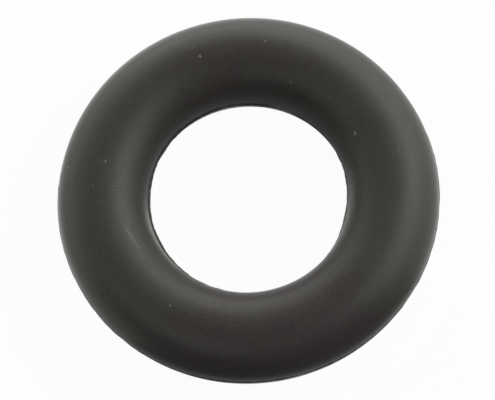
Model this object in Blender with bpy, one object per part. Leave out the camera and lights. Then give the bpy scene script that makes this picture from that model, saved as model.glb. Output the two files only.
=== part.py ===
"""Rubber ring that hangs a car's exhaust pipe below the floor of the car.

The ring is moulded in one piece of black rubber. One hook on the car and one hook on the
pipe pass through its bore, and the ring stretches and sways between them.

The mould is two plates that meet at the ring's middle height, so a low line of flash runs
round the outer rim and another round the bore. The ring lies flat: its axis is Z, and its
origin is the centre of the bore at that middle height.
"""

from math import acos, asin, cos, pi, radians, sin

import bmesh
import bpy
from mathutils import Vector

MM = 0.001

# Driving dimensions
CENTRELINE_RADIUS = 23.5 * MM    # from the ring's axis to the middle of the rubber
RUBBER_DIAMETER = 14.6 * MM      # thickness of the round rubber
LAND_WIDTH = 1.2 * MM            # flat on the top and the bottom, which the ring rests on
RIM_FLASH_HEIGHT = 0.15 * MM     # how far the flash stands out of the outer rim
BORE_FLASH_HEIGHT = 0.25 * MM    # how far the flash stands into the bore
FLASH_WIDTH = 0.8 * MM           # from one foot of the flash to the other

# What follows from them
RUBBER_RADIUS = 0.5 * RUBBER_DIAMETER
LAND_EDGE = acos(0.5 * LAND_WIDTH / RUBBER_RADIUS)     # angle up from straight out
FLASH_FOOT = asin(0.5 * FLASH_WIDTH / RUBBER_RADIUS)   # angle up from straight out

# Fineness of the faceted surface
STEPS_ROUND_THE_RING = 84
STEPS_PER_SHOULDER = 8           # between a land and a line of flash
STEPS_OVER_THE_FLASH = 6

# Smallest distance between two points of the section that stay separate
WELD_DISTANCE = 0.002 * MM

# Look of the rubber
RUBBER_COLOUR = (0.030, 0.031, 0.028, 1.0)
RUBBER_ROUGHNESS = 0.46
SMOOTH_UP_TO = radians(40)


def clear_scene():
    """Remove every object that the scene holds."""
    for old in list(bpy.data.objects):
        bpy.data.objects.remove(old, do_unlink=True)


def rubber():
    """Black moulded rubber with a faint satin skin."""
    material = bpy.data.materials.new("black_rubber")
    material.use_nodes = True
    shader = material.node_tree.nodes["Principled BSDF"]
    shader.inputs["Base Color"].default_value = RUBBER_COLOUR
    shader.inputs["Roughness"].default_value = RUBBER_ROUGHNESS
    shader.inputs["Metallic"].default_value = 0.0
    material.diffuse_color = RUBBER_COLOUR
    return material


def at(radius, angle):
    """A point as (out, up) from the middle of the rubber, its angle taken up from straight out."""
    return radius * cos(angle), radius * sin(angle)


def shoulder(first, last):
    """Points of one round shoulder of the section, both ends included."""
    turn = (last - first) / STEPS_PER_SHOULDER
    return [at(RUBBER_RADIUS, first + turn * step) for step in range(STEPS_PER_SHOULDER + 1)]


def flash(height):
    """Points of one line of flash from top to bottom, without its feet, which end the shoulders.

    The flash swells out of the round section in one soft wave, so it has no sharp root.
    """
    points = []
    for step in range(1, STEPS_OVER_THE_FLASH):
        share = 1 - 2 * step / STEPS_OVER_THE_FLASH
        swell = 0.5 * height * (1 + cos(pi * share))
        points.append(at(RUBBER_RADIUS + swell, FLASH_FOOT * share))
    return points


def section():
    """Closed outline of the rubber, cut in the XZ plane at the middle of its right side.

    It starts at the outer end of the top land and runs down the rim side, across the bottom
    land and up the bore side.
    """
    upper = shoulder(LAND_EDGE, FLASH_FOOT)
    lower = shoulder(-FLASH_FOOT, -LAND_EDGE)
    rim_side = upper + flash(RIM_FLASH_HEIGHT) + lower
    bore_side = upper + flash(BORE_FLASH_HEIGHT) + lower
    outline = rim_side + [(-out, up) for out, up in reversed(bore_side)]
    return [Vector((CENTRELINE_RADIUS + out, 0.0, up)) for out, up in outline]


def mounting_ring(material):
    """The ring: its section turned once round Z."""
    mesh = bpy.data.meshes.new("mounting_ring")
    shape = bmesh.new()
    corners = [shape.verts.new(point) for point in section()]
    edges = [shape.edges.new((a, b)) for a, b in zip(corners, corners[1:] + corners[:1])]
    bmesh.ops.spin(
        shape,
        geom=corners + edges,
        cent=(0.0, 0.0, 0.0),
        axis=(0.0, 0.0, 1.0),
        angle=2 * pi,
        steps=STEPS_ROUND_THE_RING,
        use_merge=True,
        use_duplicate=False,
    )
    bmesh.ops.remove_doubles(shape, verts=shape.verts, dist=WELD_DISTANCE)
    bmesh.ops.recalc_face_normals(shape, faces=shape.faces)
    shape.to_mesh(mesh)
    shape.free()
    mesh.shade_smooth()
    mesh.set_sharp_from_angle(angle=SMOOTH_UP_TO)
    mesh.materials.append(material)
    ring = bpy.data.objects.new("mounting_ring", mesh)
    bpy.context.collection.objects.link(ring)
    return ring


clear_scene()
mounting_ring(rubber())
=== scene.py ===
# %% [markdown]
# # A moulded rubber ring that hangs an exhaust pipe
#
# The object is one thick ring of black rubber. A hook on the car and a hook on the pipe pass
# through its bore, and the ring stretches between them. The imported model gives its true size
# and place. This lesson gives it the looks: the fine surface of the moulding, the satin skin
# of the rubber, the light of a small studio, and the camera that looks down on it.

from math import cos, hypot, pi, radians, sin, sqrt, tan

import bpy
import numpy as np
from mathutils import Matrix, Vector


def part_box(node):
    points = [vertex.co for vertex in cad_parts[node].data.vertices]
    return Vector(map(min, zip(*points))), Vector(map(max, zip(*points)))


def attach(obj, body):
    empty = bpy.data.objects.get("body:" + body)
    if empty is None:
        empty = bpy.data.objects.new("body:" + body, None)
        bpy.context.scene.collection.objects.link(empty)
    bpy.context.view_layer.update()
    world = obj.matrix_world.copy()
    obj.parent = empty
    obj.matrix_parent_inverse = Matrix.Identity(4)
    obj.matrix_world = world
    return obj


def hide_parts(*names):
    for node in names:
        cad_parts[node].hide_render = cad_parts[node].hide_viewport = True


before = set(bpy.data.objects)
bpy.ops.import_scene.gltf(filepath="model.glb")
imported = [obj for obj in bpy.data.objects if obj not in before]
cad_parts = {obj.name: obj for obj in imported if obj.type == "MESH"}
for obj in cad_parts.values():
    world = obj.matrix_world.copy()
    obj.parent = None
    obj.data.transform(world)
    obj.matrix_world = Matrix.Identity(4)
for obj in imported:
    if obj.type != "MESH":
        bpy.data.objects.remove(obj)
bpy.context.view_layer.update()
MM = 0.001

# %% [markdown]
# ## The ring's own sizes
#
# A ring like this is a torus, and two numbers make a torus: the radius of its centre line and
# the radius of the rubber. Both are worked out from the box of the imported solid, the height of
# its flash and the width of the narrow flat it lies on, so that the fine surface made here
# can't drift away from the solid.
#
# Flash is the thin line of rubber that creeps between the two halves of a mould. It runs round
# the outer rim and round the bore at the ring's middle height.

# %% Read the sizes
RIM_FLASH = 0.15 * MM           # how far the flash stands out of the rim
BORE_FLASH = 0.25 * MM          # how far the flash stands into the bore
LAND_WIDTH = 1.2 * MM           # flat of the solid's top and bottom

lowest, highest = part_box("mounting_ring")
rim_radius = highest.x
half_height = highest.z
floor_height = lowest.z
rubber_radius = hypot(half_height, LAND_WIDTH / 2)
centreline_radius = rim_radius - RIM_FLASH - rubber_radius
bore_radius = centreline_radius - rubber_radius - BORE_FLASH
print(f"rim {rim_radius / MM:.2f}, centre line {centreline_radius / MM:.2f}, "
      f"rubber {rubber_radius / MM:.2f}, bore {bore_radius / MM:.2f} mm")

# %% [markdown]
# ## The fine surface of the moulding
#
# Blender has a torus primitive, and a Screw modifier could turn a drawn profile. Both give the
# same section all the way round. A real moulding isn't that even: the flash was trimmed by
# hand, so it stands higher here and lower there, and the skin has faint swells where the
# rubber cooled. So the surface is worked out as a grid of points instead. One direction goes
# round the ring, the other goes round the section.
#
# The points round the section crowd together at the two lines of flash, where the form is
# finest, and spread out on the crown, where it is plain.

# %% Lay out the grid
STEPS_AROUND = 700
STEPS_OF_SECTION = 140
CROWDING = 0.88                 # 0 spreads the points evenly, near 1 crowds them at the flash

around = np.linspace(0, 2 * pi, STEPS_AROUND, endpoint=False)
even = np.linspace(0, 2 * pi, STEPS_OF_SECTION, endpoint=False)
section = even - CROWDING * np.sin(2 * even) / 2
U, V = np.meshgrid(around, section, indexing="ij")
print("finest spacing on the flash", round((section[1] - section[0]) * rubber_radius / MM, 3), "mm")

# %% [markdown]
# ## Unevenness that closes on itself
#
# Anything that changes round the ring has to meet itself again after one turn. A sum of sine
# waves with whole numbers of cycles does that. Each wave gets a random phase, from a seeded
# generator, so every run gives the same ring.

# %% Waves round the ring
TRIMMING_OF_THE_BORE = [
    # angle and half width in degrees, and what it adds to the flash, as a share of its height
    (-20, 13, 0.75),            # a tab the trimming left
    (20, 18, -0.55),            # cut back to the rubber
    (61, 8, -0.60),             # cut back once more
    (180, 62, 0.70),            # left higher on one side
]
chance = np.random.default_rng(11)


def waves(angle, fewest, most, fade):
    """A closed curve of sine waves, about -1 to 1. A larger fade leaves less of the short waves."""
    total = np.zeros_like(angle)
    weight = 0.0
    for cycles in range(fewest, most + 1):
        strength = (fewest / cycles) ** fade
        total += strength * np.sin(cycles * angle + chance.uniform(0, 2 * pi))
        weight += strength ** 2
    return total / sqrt(weight)


def bump_at(angle, centre, width):
    """One smooth rise of height 1 round an angle, with the given half width."""
    away = np.angle(np.exp(1j * (angle - centre)))
    return np.exp(-(away / width) ** 2)


ragged = 0.12 * waves(U, 40, 110, 0.3)
rim_trim = np.clip(0.62 + 0.20 * waves(U, 3, 40, 0.5) + ragged, 0.15, 1.0)
bore_trim = 0.75 + 0.18 * waves(U, 3, 36, 0.5) + 0.5 * ragged
for centre, half_width, change in TRIMMING_OF_THE_BORE:
    bore_trim += change * bump_at(U, radians(centre), radians(half_width))
bore_trim = np.clip(bore_trim, 0.05, 1.8)
print(f"rim flash {rim_trim.min():.2f} to {rim_trim.max():.2f} of its full height, "
      f"bore flash {bore_trim.min():.2f} to {bore_trim.max():.2f}")

# %% [markdown]
# ## From the grid to a mesh
#
# The flash is a thin fin that grows out of a hollow root on each side. A bell curve has no such
# root, so the curve used here falls fast near its tip and then slowly: it divides by the squared
# distance from the middle plane. On one stretch of the bore the fin was pressed flat, and there
# the same curve is made wider, which gives a round bead.
#
# The swells are a few hundredths of a millimetre deep: too little to measure, and enough to keep
# a highlight from looking turned on a lathe. They only go inwards, so the ring stays inside the
# solid's box.

# %% Work out the points
FLASH_HALF_WIDTH = 0.16 * MM
FIN_SHARPNESS = 1.4             # how fast the fin thins out towards its tip
BEAD_AT = radians(-16)          # where the fin was pressed flat
BEAD_HALF_WIDTH = radians(24)
BEAD_WIDENING = 3.0
SWELL_DEPTH = 0.05 * MM

height_on_section = rubber_radius * np.sin(V)
outer_side = (np.cos(V) > 0).astype(float)
inner_side = 1 - outer_side
bead = 1 + BEAD_WIDENING * inner_side * bump_at(U, BEAD_AT, BEAD_HALF_WIDTH)
ridge = (1 + (height_on_section / (FLASH_HALF_WIDTH * bead)) ** 2) ** -FIN_SHARPNESS
flash_height = outer_side * RIM_FLASH * rim_trim + inner_side * BORE_FLASH * bore_trim
swell = 0.25 * (waves(U + 0.4 * np.sin(V), 2, 9, 0.4) + waves(U - 0.5 * np.cos(V), 3, 11, 0.4))
swell = SWELL_DEPTH * np.clip(0.5 - 0.5 * swell, 0, 1) * (1 - ridge)
reach = rubber_radius + ridge * flash_height - swell
out = centreline_radius + reach * np.cos(V)
up = reach * np.sin(V) * half_height / rubber_radius
points = np.stack([out * np.cos(U), out * np.sin(U), up], axis=-1)
print("points", points.shape[0] * points.shape[1])

# %% [markdown]
# ## One closed skin
#
# Four neighbouring points make one face. Rolling the grid of point numbers by one step wraps it
# round, so that the last row joins the first and the skin closes both ways, with no seam and no
# loose edge. A bmesh loop would do the same, one face at a time and far more slowly. The piece
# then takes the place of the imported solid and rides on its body.

# %% Make the mesh
index = np.arange(STEPS_AROUND * STEPS_OF_SECTION).reshape(STEPS_AROUND, STEPS_OF_SECTION)
next_around = np.roll(index, -1, axis=0)
next_section = np.roll(index, -1, axis=1)
next_both = np.roll(next_around, -1, axis=1)
faces = np.stack([index, next_around, next_both, next_section], axis=-1).reshape(-1, 4)

ring_mesh = bpy.data.meshes.new("moulded_ring")
ring_mesh.from_pydata(points.reshape(-1, 3).tolist(), [], faces.tolist())
ring_mesh.validate()
ring_mesh.shade_smooth()
moulded_ring = bpy.data.objects.new("moulded_ring", ring_mesh)
bpy.context.scene.collection.objects.link(moulded_ring)
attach(moulded_ring, "root")
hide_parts("mounting_ring")
print("faces", len(ring_mesh.polygons))

# %% [markdown]
# ## Shader maths as plain arithmetic
#
# A procedural material is a sum of masks, and every sum and product is a Math node. Wrapping a
# socket in a small class lets Python's own signs add those nodes, so `1 - mask` reads as it
# would on paper. Every other node comes from one method, which sets the node's own settings
# first and then fills its sockets with numbers or links.
#
# Most masks end in `eased`, a soft step between two limits. The limits may come in either
# order: `height.eased(5 * MM, 1 * MM)` is 0 from 5 mm up and 1 from 1 mm down.

# %% Wrap a socket
class Value:
    """A node's output, on which plain arithmetic adds the Math nodes."""

    tree = None

    def __init__(self, socket):
        self.socket = socket

    @classmethod
    def node(cls, kind, settings=None, sockets=None, output=0):
        """Add one node and return one of its outputs."""
        made = cls.tree.nodes.new(kind)
        for name, setting in (settings or {}).items():
            setattr(made, name, setting)
        for name, content in (sockets or {}).items():
            if isinstance(content, Value):
                cls.tree.links.new(content.socket, made.inputs[name])
            else:
                made.inputs[name].default_value = content
        return cls(made.outputs[output])

    def maths(self, operation, *others):
        """A Math node on this value and the others."""
        sockets = dict(enumerate((self, *others)))
        return Value.node("ShaderNodeMath", {"operation": operation}, sockets)

    def __add__(self, other):
        return self.maths("ADD", other)

    def __sub__(self, other):
        return self.maths("SUBTRACT", other)

    def __rsub__(self, other):
        return (self * -1).maths("ADD", other)

    def __mul__(self, other):
        return self.maths("MULTIPLY", other)

    __radd__ = __add__
    __rmul__ = __mul__

    def eased(self, start, end):
        """0 at start and 1 at end, with a soft rise between them."""
        sockets = {"Value": self, "From Min": start, "From Max": end}
        return Value.node("ShaderNodeMapRange", {"interpolation_type": "SMOOTHSTEP"}, sockets)


def new_material(name):
    """A material with an empty Principled shader, whose node tree is open for new values."""
    material = bpy.data.materials.new(name)
    material.use_nodes = True
    Value.tree = material.node_tree
    return material, material.node_tree.nodes["Principled BSDF"]


print("signs that add a Math node: + - *")

# %% [markdown]
# ## Black rubber
#
# The rubber is black all through, and its skin copied a smooth steel mould, so it has a satin
# shine. One flat colour would look like painted plastic: real rubber is clouded by what rises
# to its skin, by age and by hands.
#
# The clouds are noise. They could be a painted picture, but noise needs no unwrapping and stays
# sharp from close by. It is read from the ring's own coordinates, so the clouds stay on the
# rubber when the ring moves. Two helpers do most of the work from here on: one makes a cloud
# of a given size, and one blends two colours by a mask.

# %% Clouds and blends
ELSEWHERE = (0.3, 0.7, 0.5)     # metres, a part of space far from the ring

rubber, rubber_shader = new_material("satin_rubber")
place = Value.node("ShaderNodeTexCoord", output="Object")
elsewhere = Value.node("ShaderNodeVectorMath", {"operation": "ADD"}, {0: place, 1: ELSEWHERE})


def cloud(size, detail=3.0, vector=place):
    """Soft noise, 0 to 1, whose blots are about as large as size, in metres."""
    sockets = {"Vector": vector, "Scale": 1 / size, "Detail": detail, "Roughness": 0.5}
    return Value.node("ShaderNodeTexNoise", sockets=sockets)


def blend(share, first, second):
    """A colour between two colours."""
    return Value.node("ShaderNodeMix", {"data_type": "RGBA"},
                      {"Factor": share, 6: first, 7: second}, output=2)


print("rubber nodes so far", len(rubber.node_tree.nodes))

# %% [markdown]
# ## Which way a part of the ring faces
#
# Much of the wear depends on the side of the ring: the near side, where it is picked up, or the
# near left, where it was trimmed. Such a side could be a separate material on some faces, with
# a hard edge between them. A mask is better, because it fades.
#
# The cosine of the angle between a place and a chosen direction is a sum of two products over
# the distance from the axis, so the shader needs no angles. It is eased from 0 at the edge of
# the side to 1 near its middle.

# %% Sides of the ring
rightwards, farwards, height = (
    Value.node("ShaderNodeSeparateXYZ", sockets={"Vector": place}, output=axis)
    for axis in "XYZ")
from_axis = (rightwards * rightwards + farwards * farwards).maths("SQRT")


def facing(angle, reach, full=0.6):
    """A soft mask over the part of the ring within this many degrees of an angle.

    The angle is 0 at the right, 90 at the far side and -90 at the near side. The mask is 1
    within a share of the reach, called full, and falls off from there.
    """
    side = radians(angle)
    alignment = (rightwards * cos(side) + farwards * sin(side)).maths("DIVIDE", from_axis)
    return alignment.eased(cos(radians(reach)), cos(radians(full * reach)))


print("rubber nodes so far", len(rubber.node_tree.nodes))

# %% [markdown]
# ## The bloom, and painted shade on two sides
#
# Waxes rise to the skin with time and leave a cloudy bloom, a little paler, greener and duller
# than clean rubber. Clouds of two sizes make it, and they change the colour here and the
# roughness later, because on real rubber one film does both. On the near and the far side of the
# ring the bloom is thinned out: painted shade, a darker black with a trace of violet where those
# sides hold the deepest shade.
#
# A second noise, read from another part of space so that it doesn't follow the first, adds the
# faint russet of age.

# %% Bloom and russet
RUBBER_BLACK = (0.0320, 0.0227, 0.0268, 1.0)
RUBBER_BLOOM = (0.0348, 0.0366, 0.0282, 1.0)
RUBBER_RUSSET = (0.0385, 0.0265, 0.0225, 1.0)
SHADED_SIDE_REACH = 46                # degrees to each side

# Painted shade: the near and the far side get less bloom, so they are darker and more violet.
painted_shade_sides = 0.9 * facing(-88, SHADED_SIDE_REACH).maths("MAXIMUM", 0.8 * facing(82, SHADED_SIDE_REACH))
bloom_and_painted_shade = 0.4 * cloud(6 * MM, vector=elsewhere) + 0.35 * cloud(1.6 * MM) + 0.25 * (1 - painted_shade_sides)
bloom_and_painted_shade = bloom_and_painted_shade.eased(0.32, 0.68)
skin = blend(bloom_and_painted_shade, RUBBER_BLACK, RUBBER_BLOOM)
russet = 0.5 * cloud(3 * MM, vector=elsewhere) + 0.5 * cloud(1.1 * MM, vector=elsewhere)
russet = russet.eased(0.4, 0.66)
skin = blend(0.6 * russet, skin, RUBBER_RUSSET)
print("rubber nodes so far", len(rubber.node_tree.nodes))

# %% [markdown]
# ## Rings left by the mould
#
# The steel mould was turned on a lathe, and its faint tool lines are copied by the rubber. They
# run round the ring, so they depend only on the distance from the axis and on the height. A
# small share of the place itself is added, so that no line runs all the way round unchanged.
#
# Wax gathers in the fine grain of the skin and, less, along those lines. It is blended in as a
# pale grain, which is what makes the black look like rubber from close by.

# %% Fine lines round the ring
WAX_GREY = (0.062, 0.060, 0.055, 1.0)

round_the_ring = Value.node("ShaderNodeCombineXYZ", sockets={"X": from_axis, "Y": height})


def drifting(share):
    """Round-the-ring coordinates with a share of the place itself, which ends the lines."""
    return Value.node("ShaderNodeVectorMath", {"operation": "MULTIPLY_ADD"},
                      {0: place, 1: (share, share, share), 2: round_the_ring})


tool_lines = cloud(0.4 * MM, detail=2.0, vector=drifting(0.02))
streaks = cloud(0.28 * MM, detail=2.0, vector=drifting(0.15))
wax = (0.78 * cloud(0.34 * MM, detail=2.0) + 0.22 * streaks).eased(0.38, 0.62)
skin = blend(0.30 * wax, skin, WAX_GREY)
print("rubber nodes so far", len(rubber.node_tree.nodes))

# %% [markdown]
# ## Trimmed flash
#
# Where the flash was trimmed off, the skin is torn. Torn rubber is greyer and duller than
# moulded rubber, and it shows in small ragged patches along the parting line, most of them on
# the near right and the near left. In the bore, on the near right, the same pale grey is partly
# a painted glint, the bright edge that the bore's wall shows at a low angle.
#
# Such places could be painted by hand on an unwrapped skin. Here each is a product of masks:
# which way that part of the ring faces, how far it is from the parting line, and whether it is
# on the rim or in the bore. They stay sharp at any distance and need no picture. The patches
# are noise that is drawn out round the ring, as a blade leaves them.

# %% Torn skin, with a painted glint in the bore
on_the_rim = (from_axis - centreline_radius).eased(0, 0.5 * rubber_radius)
in_the_bore = 1 - on_the_rim
off_the_parting = height.maths("ABSOLUTE")
near_right = facing(-48, 46)
near_left = facing(-152, 46)
patches = 0.7 * cloud(0.45 * MM, detail=2.0, vector=drifting(0.5)) + 0.3 * cloud(5 * MM)
rim_tear = on_the_rim * off_the_parting.eased(1.2 * MM, 0.3 * MM) * patches.eased(0.44, 0.6)
left_tear = (on_the_rim * off_the_parting.eased(1.1 * MM, 0.2 * MM) * patches.eased(0.36, 0.54)
             * near_left)
# In the bore, weighted to the near right, the torn patches also paint the bright glint at the
# bore's edge.
bore_tear_and_glint = in_the_bore * off_the_parting.eased(0.5 * MM, 0.2 * MM) * patches.eased(0.25, 0.5)
torn_and_glint = rim_tear * (0.35 + 0.65 * near_right) + bore_tear_and_glint * (0.1 + 0.9 * near_right)
torn_and_glint = torn_and_glint.maths("MAXIMUM", left_tear)
print("rubber nodes so far", len(rubber.node_tree.nodes))

# %% [markdown]
# ## Painted shade and painted glints in the bore
#
# The wall of the bore is painted almost black from a little above its middle height down:
# painted shade, where little light reaches. Near the middle height of that wall, on the near right
# and the near left, a pale grey paints the bright glint that the wall catches at a low angle,
# unevenly and most in the middle of each stretch. The near shoulder is a little paler and violet.
#
# The blends come in this order: the painted shade first, then the near shoulder, and last the
# torn skin and the painted glints.

# %% Painted shade and painted glints in the bore
TORN_RUBBER_AND_GLINT = (0.20, 0.20, 0.18, 1.0)
PAINTED_SHADE_BLACK = (0.009, 0.007, 0.009, 1.0)
NEAR_SHOULDER_VIOLET = (0.052, 0.040, 0.050, 1.0)

# Painted shade: the lower wall of the bore is blended towards near black.
painted_bore_shade = in_the_bore * height.eased(5.0 * MM, 1.0 * MM)
skin = blend(0.85 * painted_bore_shade, skin, PAINTED_SHADE_BLACK)
# The near shoulder is blended a little paler and more violet.
near_shoulder_tint = facing(-99, 44) * (from_axis - centreline_radius).eased(0, 0.6 * rubber_radius)
skin = blend(0.26 * near_shoulder_tint, skin, NEAR_SHOULDER_VIOLET)
# Painted glints: bands of pale grey near the middle height of the bore, on the near right and the
# near left.
right_bore_glint = facing(-32, 46, full=0.1) * off_the_parting.eased(4.9 * MM, 1.7 * MM)
left_bore_glint = (facing(-154, 38, full=0.1) * off_the_parting.eased(3.8 * MM, 1.8 * MM)
            * off_the_parting.eased(0.4 * MM, 1.4 * MM))
uneven = cloud(2.5 * MM, vector=drifting(0.7)).eased(0.3, 0.62)
painted_bore_glint = in_the_bore * right_bore_glint.maths("MAXIMUM", left_bore_glint) * (0.25 + 0.75 * uneven)
painted_bore_glint = painted_bore_glint * (0.5 + patches)
# Torn skin, and the painted glints in the bore, in one pale grey.
skin = blend((0.8 * torn_and_glint).maths("MAXIMUM", painted_bore_glint), skin, TORN_RUBBER_AND_GLINT)
print("rubber nodes so far", len(rubber.node_tree.nodes))

# %% [markdown]
# ## Dust, scuffs, and a rub mark with a painted highlight
#
# Specks of dust lie anywhere. A Voronoi texture scatters points through space, and each point
# near the skin shows as one speck, larger or smaller by how deep it sits.
#
# Scuffs and rub marks are few, so each is listed: by its angle round the ring, its angle
# up from the rim and over the crown, its length and width, and how far it turns away from the
# way round. A Mapping node turns and stretches space so that the mark becomes a ball, and the
# distance from the ball's middle fades it out.

# %% Dust
DUST_SPACING = 4.2 * MM
DUST_SIZE = 0.20 * MM
nearest = Value.node("ShaderNodeTexVoronoi", {"feature": "F1"},
                     {"Vector": place, "Scale": 1 / DUST_SPACING}, output="Distance")
dust = nearest.eased(DUST_SIZE / DUST_SPACING, 0.4 * DUST_SIZE / DUST_SPACING)
print("the points of dust lie about", round(DUST_SPACING / MM, 1), "mm apart")

# %% Marks listed one by one
SHALLOWEST = 0.5                # mm across the skin, so that no mark is too thin to meet it


def mark(around, over, length, width, turn=0.0):
    """A soft mask on the skin. Angles are in degrees and sizes in millimetres."""
    a, o = radians(around), radians(over)
    outwards = Vector((cos(a) * cos(o), sin(a) * cos(o), sin(o)))
    along = Vector((-sin(a), cos(a), 0))
    along = Matrix.Rotation(radians(turn), 3, outwards) @ along
    middle = centreline_radius * Vector((cos(a), sin(a), 0)) + rubber_radius * outwards
    axes = Matrix((along, outwards.cross(along), outwards)).transposed()
    size = Vector((length, width, max(width, SHALLOWEST))) * MM / 2
    sockets = {"Vector": place, "Location": middle, "Rotation": axes.to_euler(), "Scale": size}
    as_ball = Value.node("ShaderNodeMapping", {"vector_type": "TEXTURE"}, sockets)
    away = Value.node("ShaderNodeVectorMath", {"operation": "LENGTH"}, {0: as_ball}, output="Value")
    return away.eased(1.0, 0.5)


def all_marks(table):
    """The strongest of several marks at each place."""
    masks = [mark(*row) for row in table]
    joined = masks[0]
    for mask in masks[1:]:
        joined = joined.maths("MAXIMUM", mask)
    return joined


specks = all_marks([
    # around, over, length, width, turn
    (18.5, 123.9, 0.85, 0.45, -30),
    (161.6, 94.7, 0.55, 0.4),
    (161.5, 89.4, 0.3, 0.25),
    (100.9, 92.8, 0.7, 0.5, 90),
    (75.0, 81.8, 0.35, 0.3),
    (163.9, 39.7, 0.7, 0.35, 90),
    (172.1, 82.4, 0.3, 0.3),
    (60.0, 127.9, 0.35, 0.3),
    (-128.7, 90.8, 0.4, 0.3),
])
scuffs = all_marks([
    # around, over, length, width, turn
    (178.9, 88.3, 1.6, 0.22, 4),
    (179.2, 92.5, 1.7, 0.22, -3),
    (-178.6, 42.8, 2.8, 0.36, 6),
    (171.7, 112.6, 1.7, 0.26, 107),
    (173.5, 111.3, 1.5, 0.24, 106),
    (174.5, 114.4, 1.0, 0.26, 91),
    (4.9, 78.2, 1.3, 0.5, -13),
])
# A rub mark on the inner slope at the near left: smoother, and paler in colour, which paints a
# streak of highlight.
rub_mark_and_highlight = all_marks([
    (-163.0, 118.4, 6.2, 0.8, 8),
])
print("rubber nodes with the marks", len(rubber.node_tree.nodes))

# %% [markdown]
# ## From masks to a finish
#
# Every mask now does its work in colour, roughness and relief. Torn skin and dust are duller, a
# rub mark is smoother and paler, its paler colour a painted highlight, and a scuff is a small
# dent. The grain that the mould was blasted with makes the relief. It is far finer than the mesh,
# so a Bump node carries it.
#
# Two numbers of the shader matter most on black rubber. The specular tint gives the highlights
# their green cast, as the wax does, and leaves the grazing edges neutral. The sheen stands for
# the fine dust and bloom that light up where the skin is seen at a low angle.

# %% Put the finish together
DUST_GREY = (0.22, 0.22, 0.21, 1.0)
SCUFF_AND_HIGHLIGHT_GREY = (0.10, 0.10, 0.095, 1.0)
RELIEF_DEPTH = 0.02 * MM

# Scuffs are paler grey; on the rub mark the paler grey is a painted highlight.
skin = blend(0.35 * scuffs + 0.25 * rub_mark_and_highlight, skin, SCUFF_AND_HIGHLIGHT_GREY)
skin = blend((0.3 * dust).maths("MAXIMUM", 0.8 * specks), skin, DUST_GREY)
dullness = 0.41 + 0.05 * bloom_and_painted_shade + 0.04 * tool_lines + 0.25 * torn_and_glint + 0.2 * dust - 0.12 * rub_mark_and_highlight
grain = 0.6 * cloud(0.3 * MM, detail=2.0) + 0.4 * cloud(0.8 * MM, detail=1.0)
relief = grain + 0.15 * tool_lines + 0.8 * torn_and_glint - 0.8 * scuffs
bumps = Value.node("ShaderNodeBump",
                   sockets={"Strength": 0.34, "Distance": RELIEF_DEPTH, "Height": relief})
for name, content in {"Base Color": skin, "Roughness": dullness, "Normal": bumps}.items():
    Value.tree.links.new(content.socket, rubber_shader.inputs[name])
rubber_shader.inputs["Specular IOR Level"].default_value = 0.37
rubber_shader.inputs["Specular Tint"].default_value = (0.88, 1.0, 0.84, 1.0)
rubber_shader.inputs["Sheen Weight"].default_value = 0.68
rubber_shader.inputs["Sheen Roughness"].default_value = 0.3
ring_mesh.materials.append(rubber)
print("rubber nodes", len(rubber.node_tree.nodes))

# %% [markdown]
# ## The floor
#
# The ring lies on a plain pale floor. Blender's own plane would do, and would then be moved down
# to the ring's underside. Four corners at the right height say the same in one step. The floor
# is matt, so that no lamp shows in it.

# %% Lay the floor
FLOOR_SIZE = 6.0
FLOOR_GREY = (0.85, 0.85, 0.85, 1.0)

half = FLOOR_SIZE / 2
corners = [(-half, -half, floor_height), (half, -half, floor_height),
           (half, half, floor_height), (-half, half, floor_height)]
floor_mesh = bpy.data.meshes.new("floor")
floor_mesh.from_pydata(corners, [], [(0, 1, 2, 3)])
floor = bpy.data.objects.new("floor", floor_mesh)
bpy.context.scene.collection.objects.link(floor)

pale, pale_shader = new_material("pale_floor")
pale_shader.inputs["Base Color"].default_value = FLOOR_GREY
pale_shader.inputs["Roughness"].default_value = 0.9
pale_shader.inputs["Specular IOR Level"].default_value = 0.0
floor_mesh.materials.append(pale)
print(f"the floor lies {-floor_height / MM:.2f} mm below the ring's middle height")

# %% [markdown]
# ## White by the kind of ray
#
# More lamps would whiten the floor and wash out the rubber. Instead, Light Path tells the shader
# which kind of ray is asking, and a Mix Shader adds a share of plain white for that kind. The
# camera sees the floor as almost white, and a part of the floor's own shading stays, so the ring
# keeps a soft shadow.
#
# A reflection sees less of that white, because the rubber mirrors the floor right beside it,
# which is darker in the bore. On the left and the far side it sees the full white close to the
# ring, as if a strip of white paper was tucked in there. That draws the fine pale edge of the
# rim.

# %% Whiten the floor
WHITE_TO_CAMERA = 0.96          # share of plain white in what the camera sees
WHITE_TO_GLOSS = 0.2            # and in what a reflection sees
PAPER_SIDE = radians(140)       # the way from the ring to the middle of the white strip


def ray(kind):
    """1 for one kind of ray, such as Camera, and 0 for the others."""
    return Value.node("ShaderNodeLightPath", output=f"Is {kind} Ray")


def mirrored_ray():
    """1 for rays that a surface mirrored or let through, and 0 for the others."""
    return ray("Glossy").maths("MAXIMUM", ray("Transmission"))


on_floor = Value.node("ShaderNodeTexCoord", output="Object")
from_middle = Value.node("ShaderNodeVectorMath", {"operation": "LENGTH"}, {0: on_floor},
                         output="Value")
to_paper = Value.node("ShaderNodeVectorMath", {"operation": "DOT_PRODUCT"},
                      {0: on_floor, 1: (cos(PAPER_SIDE), sin(PAPER_SIDE), 0)}, output="Value")
paper = to_paper.eased(6 * MM, 28 * MM) * from_middle.eased(50 * MM, 38 * MM)
to_gloss = WHITE_TO_GLOSS + (1 - WHITE_TO_GLOSS) * paper
white = (WHITE_TO_CAMERA * ray("Camera")).maths("MAXIMUM", to_gloss * mirrored_ray())
glow = Value.node("ShaderNodeEmission", sockets={"Color": (1, 1, 1, 1), "Strength": 1.0})
mixed = Value.node("ShaderNodeMixShader",
                   sockets={0: white, 1: Value(pale_shader.outputs[0]), 2: glow})
surface = Value.tree.nodes["Material Output"].inputs["Surface"]
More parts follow.
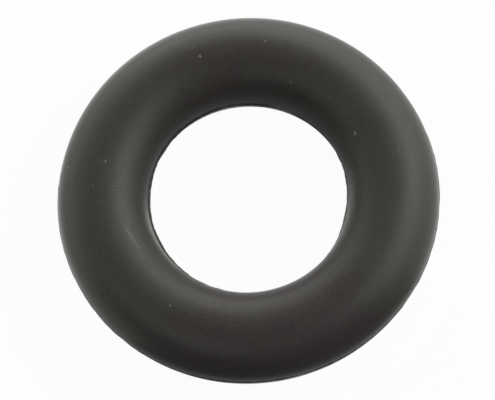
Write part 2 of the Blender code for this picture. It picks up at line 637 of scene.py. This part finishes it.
Value.tree.links.new(mixed.socket, surface)
print("floor nodes", len(pale.node_tree.nodes))

# %% [markdown]
# ## A grey card in front
#
# The near side of the ring would mirror the bright floor in front of it and lose its dark edge.
# A photographer lays dark card there, with a round cut-out for the object. Here the camera looks
# through the card and it casts no shadow, so the floor stays white. Only reflections and the
# light that bounces up from below meet it.

# %% Lay the card
CUT_RADIUS = 36 * MM
CARD_REACH = 0.6                # metres from the middle of the ring to the outer edge
CARD_LIFT = 0.3 * MM
CARD_START = -31                # degrees round the ring, and on from there to the left
CARD_STEP = 4.5
CARD_STEPS = 24
CARD_GREY = (0.12, 0.12, 0.12, 1.0)

cut_centre = Vector((0, 0, floor_height + CARD_LIFT))
card_corners = []
for step in range(CARD_STEPS + 1):
    angle = radians(CARD_START - CARD_STEP * step)
    outwards = Vector((cos(angle), sin(angle), 0))
    card_corners += [cut_centre + CUT_RADIUS * outwards, cut_centre + CARD_REACH * outwards]
card_faces = [(corner, corner + 1, corner + 3, corner + 2)
              for corner in range(0, 2 * CARD_STEPS, 2)]
card_mesh = bpy.data.meshes.new("grey_card")
card_mesh.from_pydata(card_corners, [], card_faces)
card = bpy.data.objects.new("grey_card", card_mesh)
card.visible_camera = False
card.visible_shadow = False
bpy.context.scene.collection.objects.link(card)

grey, grey_shader = new_material("grey_card")
grey_shader.inputs["Base Color"].default_value = CARD_GREY
grey_shader.inputs["Roughness"].default_value = 1.0
card_mesh.materials.append(grey)
print("the card covers", CARD_STEP * CARD_STEPS, "degrees of the near side")

# %% [markdown]
# ## The space around
#
# Past the edge of the floor the camera sees plain white. Reflections see a trace of it, and no
# more, because the studio behind the lamps is dark. That darkness between the lamps is what
# gives black rubber its form.

# %% Set the world
WHITE_ROUND_ABOUT = 0.01        # share of plain white that a reflection sees past the floor

world = bpy.data.worlds.new("studio")
world.use_nodes = True
Value.tree = world.node_tree
backdrop = ray("Camera").maths("MAXIMUM", WHITE_ROUND_ABOUT * mirrored_ray())
background = world.node_tree.nodes["Background"].inputs
background["Color"].default_value = (1, 1, 1, 1)
world.node_tree.links.new(backdrop.socket, background["Strength"])
bpy.context.scene.world = world
print("world nodes", len(world.node_tree.nodes))

# %% [markdown]
# ## The light
#
# Black satin rubber shows its form almost only through what it mirrors. A ready picture of a
# studio, wrapped round the scene, would light it quickly, but its lamps can't be moved one at a
# time. So the lamps are placed here as a photographer places them: each one draws one highlight,
# or carries on the one beside it.
#
# Four low strips stand in an arc round the right, the far side and the left, and light the rim
# there and the facing walls of the bore. Three boxes above them draw the band along the far
# shoulder. Three more on the right carry that band down the right side and light the left wall
# of the bore. A weak one overhead and two in front fill what is left.
#
# A lamp's power says little by itself, because a larger box needs more of it to look as bright.
# So each box is given by the angles that it covers and by how bright its face is, where 1 is the
# brightness of plain white paper in this light.

# %% Hang the lamps
LAMP_DISTANCE = 1.0
SOFT_BOXES = [
    # name, azimuth, elevation, angle across, angle upright, brightness
    ("right_strip", -3, 6.5, 44, 13, 1.15),
    ("far_right_strip", 41, 6.5, 44, 13, 2.86),
    ("far_strip", 93, 6.5, 60, 13, 4.40),
    ("left_strip", 154, 6.5, 62, 13, 2.60),
    ("shoulder_box", 46, 32, 52, 13, 4.74),
    ("far_box", 92, 32, 40, 13, 2.80),
    ("left_box", 140, 32, 56, 13, 1.21),
    ("right_box", -2, 30, 48, 12, 4.95),
    ("high_right_box", 24, 48, 34, 22, 1.66),
    ("high_near_box", -11, 53, 34, 11, 4.10),
    ("overhead", 90, 76, 50, 30, 0.25),
    ("front_fill", -145, 46, 60, 30, 1.02),
    ("near_fill", -90, 36, 60, 34, 0.24),
]


def soft_box(name, azimuth, elevation, across, upright, brightness):
    """Hang a rectangular lamp that covers these angles, in degrees, as the ring sees it.

    Returns how brightly it lights a white floor, where 1 is plain white.
    """
    lamp = bpy.data.lights.new(name, "AREA")
    lamp.shape = "RECTANGLE"
    lamp.size = 2 * LAMP_DISTANCE * tan(radians(across / 2))
    lamp.size_y = 2 * LAMP_DISTANCE * tan(radians(upright / 2))
    area = lamp.size * lamp.size_y
    lamp.energy = brightness * pi * area
    azimuth, elevation = radians(azimuth), radians(elevation)
    away = Vector((cos(elevation) * cos(azimuth), cos(elevation) * sin(azimuth), sin(elevation)))
    lamp_object = bpy.data.objects.new(name, lamp)
    lamp_object.location = LAMP_DISTANCE * away
    lamp_object.rotation_euler = away.to_track_quat("Z", "Y").to_euler()
    bpy.context.scene.collection.objects.link(lamp_object)
    return sin(elevation) * area * brightness / LAMP_DISTANCE ** 2 / pi


floor_light = sum(soft_box(*box) for box in SOFT_BOXES)
print("the lamps light the floor to", round(floor_light, 2), "of plain white")

# %% [markdown]
# ## The camera
#
# The photograph looks down on the ring from well above, with a long lens. An orthographic camera
# would come close, but a real lens draws the near side a little larger than the far side. So
# this one has perspective and stands half a metre away. It is rolled a little, which a round
# ring shows only by which side looks nearest.

# %% Set the camera
PICTURE_WIDTH = 495             # pixels
PICTURE_HEIGHT = 400
TILT = radians(18.81)           # between the line of sight and the ring's axis
ROLL = radians(8.34)
DISTANCE = 0.501                # metres
SENSOR_WIDTH = 36.0             # mm
PIXELS_PER_METRE = 6190.5       # at the ring's centre
RING_AT = (248.18, 198.14)      # where the ring's centre lands, in pixels from the top left

camera_data = bpy.data.cameras.new("camera")
camera_data.sensor_width = SENSOR_WIDTH
camera_data.lens = SENSOR_WIDTH * PIXELS_PER_METRE * DISTANCE / PICTURE_WIDTH
towards_camera = Vector((0, -sin(TILT), cos(TILT)))
level_right = Vector((1, 0, 0))
level_up = towards_camera.cross(level_right)
camera_right = cos(ROLL) * level_right - sin(ROLL) * level_up
camera_up = sin(ROLL) * level_right + cos(ROLL) * level_up
right_of_middle = (RING_AT[0] - PICTURE_WIDTH / 2) / PIXELS_PER_METRE
below_middle = (RING_AT[1] - PICTURE_HEIGHT / 2) / PIXELS_PER_METRE
place_of_camera = (DISTANCE * towards_camera - right_of_middle * camera_right
                   + below_middle * camera_up)
turned = Matrix((camera_right, camera_up, towards_camera)).transposed().to_4x4()
camera = bpy.data.objects.new("camera", camera_data)
camera.matrix_world = Matrix.Translation(place_of_camera) @ turned
bpy.context.scene.collection.objects.link(camera)
bpy.context.scene.camera = camera
print(f"lens {camera_data.lens:.0f} mm")

# %% [markdown]
# ## Colour
#
# The Standard view shows each colour about as it is written, where the filmic views would grey
# the white ground.

# %% Finish
bpy.context.scene.view_settings.view_transform = "Standard"
